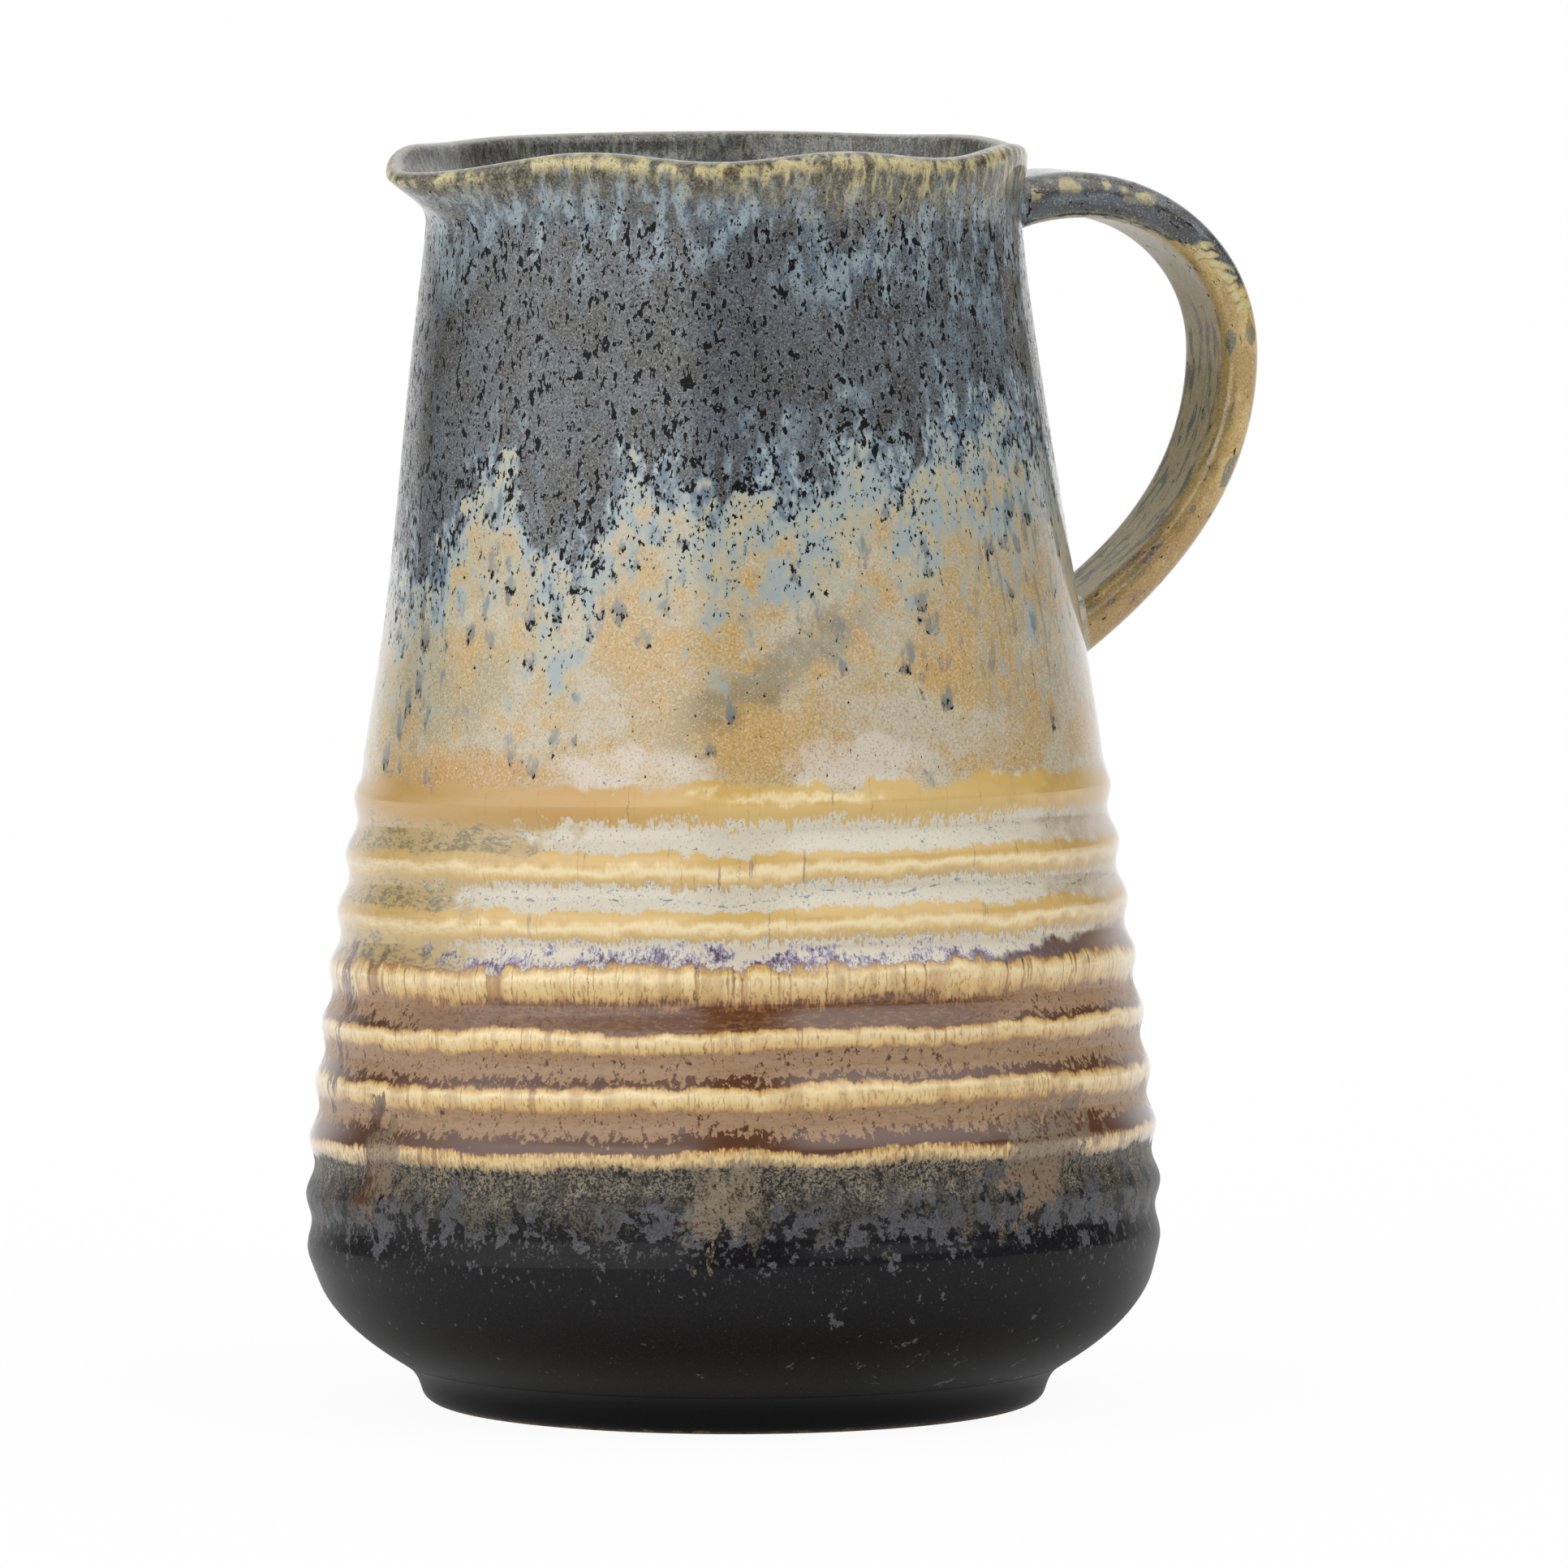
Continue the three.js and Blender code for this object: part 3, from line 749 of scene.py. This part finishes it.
def ringedGlaze(paint, spot, turn, level, c=glaze):
    sway = paint.noise(spot, 18, 1, 0.5, tall=0.6)
    ring = level + sway * 0.28 + paint.noise(spot, 4, 1, 0.5) * 0.06 + c["glazeSag"]
    ring = (ring - pot["ringCrest"]) / pot["ringPitch"]
    hair = paint.noise(spot, 0.5, 3, 0.65, tall=3.5)
    clump = paint.noise(spot, 3.4, 2, 0.5, tall=0.7)
    crystal = paint.noise(spot, 0.5, 3, 0.7)
    jag = paint.noise(spot, 1.1, 4, 0.7, tall=1.4)
    below = 0.5 - (ring + 0.5).math("FRACT")  # under the nearest crest, in shares of the spacing
    number = ring + below
    over = paint.curve(number, c["creamOver"], 0, 1)
    under = paint.curve(number, c["creamUnder"], 0, 1)
    ridgeShare = (below + over) / (over + under)  # 0 at the top of a ring's cream, 1 at its foot
    laid = paint.node("CombineXYZ", {}, {0: turn * 1.15 + hair * 0.07, 1: number * 13.7})
    broad = paint.noise(laid, 15, 1, 0.5)  # large pillows, nipped in where they meet
    nip = broad.math("ABSOLUTE").above(0.14, 0.0) * number.above(3.4, 3.2)
    broadRing = number.between(2.5, 3.5, 0.1)
    nip = nip * (0.12 + broadRing * 0.4)
    ridgeShare = (ridgeShare - 0.5) * (1 + nip) + 0.5
    ragged = ridgeShare + hair * (0.025 + ridgeShare * 0.06) + clump * 0.05
    soft = ridgeShare + clump * 0.04 + hair * 0.02
    cream = ragged.above(-0.06, 0.08) * ragged.above(1.08, 0.92)
    upperRings = number.above(3.4, 3.6)
    lowStops = [(0, c["creamBrown"]), (0.14, c["honey"]), (0.3, c["creamLight"]), (0.5, c["cream"]),
                (0.78, c["honey"]), (1, c["creamBrown"])]
    highStops = [(0, c["amber"]), (0.3, c["honey"]), (0.5, c["creamLight"]), (0.58, c["creamLight"]),
                 (0.8, c["honey"]), (1, c["tan"])]
    footStops = [(0, c["creamBrown"]), (0.2, c["honey"]), (0.42, c["cream"]), (0.7, c["mud"]),
                 (1, c["moss"])]
    ridge = paint.mix(upperRings, paint.ramp(soft, lowStops), paint.ramp(soft, highStops))
    ridge = paint.mix(number.above(0.6, 0.4), ridge, paint.ramp(soft + hair * 0.08, footStops))
    gleam = soft.between(0.3, 0.5, 0.1) * (turn + clump * 2).between(-4, 20, 4) * 0.8
    golden = paint.mix(turn.above(6, -30), c["amber"], c["orange"])
    golden = paint.mix(gleam, golden, c["creamLight"])
    ridge = paint.mix(number.above(5.4, 5.6) * 0.9, ridge, golden)
    # the cream shrinks into pillows, with cracks between them
    ridge = paint.mix(nip.above(0.1, 0.6) * 0.8, ridge, c["creamBrown"])
    pillow = paint.noise(laid, 3.0, 1, 0.5)
    worn = paint.noise(spot, 7, 1, 0.5).above(-0.9, 1.2)
    lowRings = 1 - upperRings
    ridge = paint.mix(pillow.above(0.2, 1.8) * lowRings * 0.35, ridge, c["creamBrown"])
    cracks = pillow.math("ABSOLUTE").above(0.2, 0.03) * (worn * 0.7 + broadRing * 0.3)
    ridge = paint.mix(cracks * lowRings * 0.85, ridge, c["crack"])
    hairs = hair.above(0.4, 2.0) * lowRings * soft.above(0.15, 0.8)
    ridge = paint.mix(hairs * 0.75, ridge, c["creamBrown"])
    thin = (pillow - 0.9).math("ABSOLUTE").above(0.07, 0.0) * upperRings * worn
    ridge = paint.mix(thin * 0.7, ridge, c["blueCrack"])
    # grooves between the rings' cream, from 0 at the top to 1 at the bottom
    low = ring.math("FLOOR")
    lowEdge = paint.curve(low, c["creamOver"], 0, 1)
    highEdge = paint.curve(low + 1, c["creamUnder"], 0, 1)
    groove = 1 - (ring - low - lowEdge) / (1 - lowEdge - highEdge)
    chocolate = ring.above(1.95, 2.05) * turn.between(*c["brownSide"], 8)
    chocolate = chocolate * (1 - turn.above(-10, -30) * 0.3)
    skinDepth = 0.58 + ring.above(0.95, 1.05) * 0.2 + chocolate * 0.6
    skin = (groove + jag * 0.1 + clump * 0.05 - skinDepth).above(0.025, -0.025)
    taupe = paint.mix(chocolate, c["taupe"], c["brown"])
    taupe = paint.mix(crystal.above(0, 2) * 0.35 * (1 - chocolate * 0.5), taupe, c["mossLight"])
    layers = paint.noise(spot, 1.6, 3, 0.65, tall=0.3)
    flecked = layers + crystal * 0.4
    taupe = paint.mix(flecked.above(-0.2, 1.8) * (0.25 + chocolate * 0.4), taupe, c["darkBrown"])
    taupe = paint.mix(flecked.above(-0.4, -1.8) * chocolate * 0.3, taupe, c["taupe"])
    taupe = paint.mix((jag + crystal * 0.5).above(1.7, 1.9), taupe, c["darkBrown"])
    dull = paint.mix(skin, c["darkBrown"], taupe)
    bloom = groove * 1.5 + clump * 0.4 + crystal * 0.25 + hair * 0.35
    lilac = paint.mix(bloom.above(0.5, 1.7), c["white"], c["lilac"])
    lilac = paint.mix((bloom + jag * 0.2).above(1.5, 2.1) * 0.85, lilac, c["violet"])
    lilac = paint.mix((turn + groove * 42 + clump * 4).between(74, 170, 9) * 0.9, lilac, c["violet"])
    thread = (groove - 0.45 - sway * 0.06 - clump * 0.04).math("ABSOLUTE").above(0.08, 0.01)
    milk = paint.mix(crystal.above(0.4, 2.2) * 0.55, c["white"], c["whiteBlue"])
    milk = paint.mix(thread * jag.above(0.0, 1.2) * ring.above(5, 4.9) * 0.8, milk, c["blue"])
    milk = paint.mix((crystal + clump * 0.4).above(2.3, 2.6) * 0.9, milk, c["blue"])
    high = paint.mix(ring.above(3.9, 4.1), lilac, milk)
    silt = layers * 0.5 + clump * 0.4 + crystal * 0.15 + groove
    mud = paint.mix(silt.above(0.0, 1.8), c["mud"], c["olive"])
    muddy = (turn + clump * 3 + ring.above(4.9, 5.1) * -14).between(*c["muddySide"], 7)
    high = paint.mix(muddy * 0.9, high, mud)
    shaded = (turn + clump * 4).between(*c["shadedSide"], 12)
    high = paint.mix(shaded * 0.45, high, c["goldBrown"])
    ridge = paint.mix(shaded * upperRings * 0.3, ridge, c["goldBrown"])
    between = paint.mix(ring.above(2.9, 3.1), dull, high)
    ridge = paint.mix(muddy * upperRings * (0.35 + layers.above(-0.5, 1.5) * 0.3), ridge, c["mud"])
    foot = (ragged.above(0.9, 1.0) * ring.above(0.0, -0.05)).math("MAXIMUM", ring.above(-0.24, -0.28))
    matte = skin * (1 - cream) * ring.above(3.1, 2.9) * (1 - chocolate)
    return paint.mix(cream, between, ridge), ring, foot, matte


def lowerGlaze(paint, spot, turn, level, c=glaze):
    lobes = paint.noise(spot, 6, 3, 0.55, tall=1.4)
    speckle = paint.noise(spot, 0.42, 3, 0.7)
    flake = paint.noise(spot, 3.5, 5, 0.7, tall=1.0)
    bit = paint.noise(spot, 0.9, 3, 0.6, tall=1.4)
    run = paint.noise(spot, 2.2, 3, 0.6, tall=3)
    moss = paint.mix(speckle.above(-1.2, 0.6), c["mossDark"], c["moss"])
    moss = paint.mix((speckle * 1.2 + lobes * 0.7).above(0.4, 1.8) * 0.8, moss, c["mossLight"])
    moss = paint.mix((bit + speckle * 0.5).above(1.4, 1.7) * 0.9, moss, c["black"])
    moss = paint.mix((level - run * 1.5).above(42, 36) * 0.6, moss, c["mossDark"])
    base = paint.mix(level.above(26, 12), c["violetBlack"], c["brownBlack"])
    base = paint.mix(speckle.above(-0.3, -1.6) * 0.5, base, c["black"])
    base = paint.mix(speckle.above(0.4, 2.0) * 0.12, base, c["lichenDark"])
    flakes = flake - 0.6 - level.above(33, 23) * 2.2 + level.above(29, 35) * 0.8
    flakes = flakes + turn.between(6, 60, 8) * 0.5
    bits = (bit - 1.5 - level.above(30, 17) * 1.3).above(-0.1, 0.2)
    grey = paint.mix(speckle.above(-1.5, 1.5) * 0.6, c["lichenDark"], c["lichen"])
    base = paint.mix(flakes.above(-0.03, 0.03).math("MAXIMUM", bits * 0.7), base, grey)
    mossy = (level - c["mossEnds"] + lobes * 2.2 + run * 1.2 + speckle * 0.5).above(-2.4, 1.6)
    return paint.mix(mossy, base, moss)


def makeGlaze(name, c=glaze):
    paint = newPaint(name)
    spot, turn, up, level = potPlaces(paint)
    upper, pits, dull = upperGlaze(paint, spot, turn, up)
    banded, ring, foot, matte = ringedGlaze(paint, spot, turn, level)
    lower = lowerGlaze(paint, spot, turn, level)
    inner = paint.attribute("inner")
    hem = paint.noise(spot, 9, 2, 0.5) * 0.08
    onTop = (ring + hem).above(*c["topStarts"]).math("MAXIMUM", inner)
    onBase = foot * (1 - inner)
    colour = paint.mix(onTop, banded, upper)
    colour = paint.mix(onBase, colour, lower)
    # runs down across the rings
    wander = paint.noise(spot, 2.0, 4, 0.65, tall=2.2)
    drift = paint.noise(spot, 5, 2, 0.5, tall=1.3)
    fleck = paint.noise(spot, 0.6, 3, 0.65)
    for around, half, top, end, soft, tint in c["runs"]:
        side = (turn - around + drift * half * 0.35 + wander).math("ABSOLUTE") / half
        length = (level + wander * 1.6 + drift * 1.5).between(end, top, 0.8)
        tinted = paint.mix((fleck + wander * 0.4).above(1.0, 1.3), c[tint], c["runBrown"])
        colour = paint.mix(side.above(1 + soft, 1 - soft) * length * (1 - soft * 0.5), colour, tinted)
    height = 0 - pits * onTop
    bump = paint.node("Bump", {}, {"Strength": 0.35, "Distance": c["pitDepth"], "Height": height})
    coat = (1 - onBase) * (1 - onTop * dull) * (1 - matte * (1 - onTop) * 0.6)
    sheen = onBase * level.above(12, 24) * 0.2
    shader = paint.node("BsdfPrincipled", {}, {
        "Base Color": colour, "Roughness": 0.4 + onBase * 0.1, "Specular IOR Level": 0.05,
        "Normal": bump, "Coat Weight": coat + sheen, **c["gloss"],
    })
    return paint.finish(shader)


# Foot's glaze: black, with bare clay where it stands
def makeFootGlaze(name, c=glaze):
    paint = newPaint(name)
    spot, _, up, _ = potPlaces(paint)
    speckle = paint.noise(spot, 0.6, 3, 0.7)
    body = paint.mix(speckle.above(0, 2) * 0.6, c["black"], c["brownBlack"])
    worn = (up + paint.noise(spot, 3, 3, 0.6) * 0.12).above(0.7, 0.25)
    clay = paint.mix(speckle.above(-1, 1), c["clay"], c["clayDark"])
    body = paint.mix(worn, body, clay)
    shader = paint.node("BsdfPrincipled", {}, {
        "Base Color": body, "Roughness": 0.5 + worn * 0.35, "Specular IOR Level": 0.05,
        "Coat Weight": (1 - worn) * 0.04, "Coat Roughness": 0.25,
    })
    return paint.finish(shader)


# Handle's glaze: grey over the crest, golden below it, dull inside
def makeStrapGlaze(name, c=glaze, p=strap):
    paint = newPaint(name)
    spot = potPlaces(paint)[0]
    run = paint.attribute("run")
    depth = paint.attribute("depth")  # -1 on the inner face, 1 on the outer one
    across = paint.split(paint.node("TexCoord", {}, {}, "Object"))[1] * (1 / mm)
    laid = paint.node("CombineXYZ", {}, {0: across, 1: depth * (p["thickness"] / 2), 2: run})
    patch = paint.noise(laid, 5, 2, 0.5, tall=1.6)
    grain = paint.noise(spot, 0.36, 2, 0.7)
    streak = paint.noise(laid, 1.8, 2, 0.5, tall=4)
    fine = paint.noise(laid, 0.8, 2, 0.5, tall=5)
    fromMiddle = across.math("ABSOLUTE") / p["breadth"]
    inside = depth.above(-0.85, -0.98) * fromMiddle.above(0.47, 0.3)
    # golden sides, with painted shade in olive along the rounded inner edge
    body = paint.mix(patch.above(-1.0, 1.4), c["gold"], c["goldLight"])
    innerEdgeShade = (depth + patch * 0.15).between(-1.2, -0.3, 0.3) * (run + patch * 5).above(50, 66)
    body = paint.mix(innerEdgeShade * (streak * 0.5 + fine * 0.3).above(-1.6, 1.0) * 0.85, body, c["olive"])
    browned = run.above(76, 92) * (patch + streak * 0.4).above(-1.2, 1.0)
    body = paint.mix(browned * 0.7, body, c["goldBrown"])
    dull = paint.mix((run + patch * 5).above(30, 54), c["beige"], c["drab"])
    combed = (streak + fine * 0.5).above(-0.2, 1.6) * run.above(40, 60)
    dull = paint.mix(combed * 0.85, dull, c["rimOlive"])
    stains = (streak * 0.8 + fine * 0.3 - patch * 0.6).above(1.2, 1.9) * run.above(36, 54)
    dull = paint.mix(stains * 0.8, dull, c["smudgeBlue"])
    body = paint.mix(inside, body, dull)
    smudges = (streak * 0.8 + patch * 0.8).above(1.3, 2.1) * run.above(46, 54)
    body = paint.mix(smudges * 0.7, body, c["smudgeBlue"])
    # grey over the crest, with blotches of cream near the top and a thin line of it below
    grey = paint.mix((streak * 0.8 + fine * 0.4).above(-0.8, 2.0) * 0.55, c["slateDark"], c["blue"])
    grey = paint.mix((fine * 0.6 - patch * 0.6).above(0.4, 1.9) * 0.2, grey, c["paleBlue"])
    blotch = paint.noise(laid, 2.6, 1, 0.5, tall=1.3)
    high = (depth + patch * 0.08).between(0.15, 0.85, 0.25) * run.above(30, 22)
    grey = paint.mix(blotch.above(-0.3, 1.3) * high * 0.75, grey, c["rimCream"])
    grey = paint.mix(blotch.above(-0.4, -1.6) * high * 0.7, grey, c["rimBrown"])
    under = (depth + fine * 0.08).above(-0.55, -0.85)
    grey = paint.mix(under * (fine + blotch * 0.5).above(-1.2, 1.0) * 0.75, grey, c["rimCream"])
    crest = (run - depth * 10 + patch * 1.5 + fine * 1.2).above(42, 38.5) * (1 - inside)
    body = paint.mix(crest, body, grey)
    # a stack of soft beads where the grey ends
    turnOf = ((run + patch * 0.7 + blotch * 0.25) / 2.2).math("FRACT") - 0.55
    aside = (depth + 0.1 - (run - 36) * 0.035 + blotch * 0.1) / 0.42
    blob = turnOf * turnOf * 4.4 + aside * aside
    stack = (run + fine * 0.3).between(35, 50, 1.2) * blotch.above(-2.2, -0.6)
    body = paint.mix(stack * blob.above(1.3, 0.2), body, c["rimCream"])
    shadeUnder = blob.between(0.9, 1.5, 0.3) * aside.between(-1, 1, 0.3) * turnOf.above(-0.1, 0.4)
    body = paint.mix(stack * shadeUnder * 0.7, body, c["rimBrown"])
    body = paint.mix(grain.above(0.3, 2.2) * 0.35, body, c["pink"])
    body = paint.mix(grain.above(-0.4, -2.2) * 0.45, body, c["rimOlive"])
    pits = (paint.noise(laid, 1.0, 3, 0.6, tall=2) + crest * 0.4).above(2.4, 2.6)
    body = paint.mix(pits, body, c["pit"])
    shader = paint.node("BsdfPrincipled", {}, {
        "Base Color": body, "Roughness": 0.4, "Specular IOR Level": 0.1,
        "Coat Weight": (1 - pits * 0.9) * (1 - inside * 0.75), **c["gloss"],
    })
    return paint.finish(shader)


bandedGlaze = makeGlaze("bandedGlaze")
makePot(bandedGlaze)
makeFoot(makeFootGlaze("footGlaze"))
makeStrap(makeStrapGlaze("strapGlaze"))
makeLute("upperLute", "upper_lute", (2, 4), bandedGlaze)
makeLute("lowerLute", "lower_lute", (len(path) - 3, len(path) - 5), bandedGlaze)


# Studio: broad lights on both sides of a narrow gap, a pale floor and a pale backdrop
studio = {
    # degrees from the camera at which a light begins, is full, fades and ends,
    # then its foot and top as the sine of their height, and its strength
    "lights": [(-5, -18, -62, -130, 0.0, 0.45, 2.05), (14, 26, 60, 130, 0.35, 0.85, 1.15),
               (9, 18, 45, 120, 0.0, 0.5, 0.28)],
    "footSoft": 0.1, "topSoft": 0.25, "gap": (-10, 14, 7),
    "room": 0.05, "ceiling": 0.97, "ceilingEdge": (0.35, 0.75),
    "backdrop": 0.9, "backdropEdge": (0.55, 0.9), "floorShare": 0.94, "floorRadius": 12, "floorSides": 64,
    "paper": (0.85, 0.85, 0.85, 1), "white": (1, 1, 1, 1),
}


def makeFloor(p=studio):
    bm = bmesh.new()
    bmesh.ops.create_circle(bm, cap_ends=True, segments=p["floorSides"], radius=p["floorRadius"])
    mesh = bpy.data.meshes.new("floor")
    bm.to_mesh(mesh)
    bm.free()
    floor = bpy.data.objects.new("floor", mesh)
    scene.collection.objects.link(floor)
    paint = newPaint("floorPaper")
    # the paper looks nearly white, and the rest of it takes the jug's shadow
    kinds = ("Is Camera Ray", "Is Glossy Ray", "Is Transmission Ray")
    rays = [paint.node("LightPath", {}, {}, kind) for kind in kinds]
    seen = (rays[0] + rays[1] + rays[2]).math("MINIMUM", 1.0) * p["floorShare"]
    paper = paint.node("BsdfDiffuse", {}, {"Color": p["paper"]})
    glow = paint.node("Emission", {}, {"Color": p["white"], "Strength": 1.0})
    mesh.materials.append(paint.finish(paint.node("MixShader", {}, {0: seen, 1: paper, 2: glow})))


def makeWorld(p=studio):
    paint = Paint(bpy.data.worlds.new("studio"))
    direction = paint.node("TexCoord", {}, {}, "Generated")
    turned = paint.node("Mapping", {}, {"Vector": direction, "Rotation": (0, 0, frontAngle)})
    right, away, up = paint.split(turned)
    around = paint.node("Math", {"operation": "ARCTAN2"}, {0: right, 1: 0 - away}) * (180 / math.pi)
    light = p["room"] + away.above(*p["backdropEdge"]) * (p["backdrop"] - p["room"])
    for begin, full, fade, end, base, top, strength in p["lights"]:
        shape = around.above(begin, full) * around.above(end, fade)
        tall = up.above(base - p["footSoft"], base) * up.above(top + p["topSoft"], top)
        light = light + shape * tall * strength
    light = light + up.above(*p["ceilingEdge"]) * (1 - around.between(*p["gap"])) * p["ceiling"]
    seen = paint.node("LightPath", {}, {}, "Is Camera Ray")
    shade = paint.node("Background", {}, {"Color": p["white"], "Strength": light + (1 - light) * seen})
    scene.world = paint.finish(shade, "OutputWorld")


makeFloor()
makeWorld()
print("studio set")
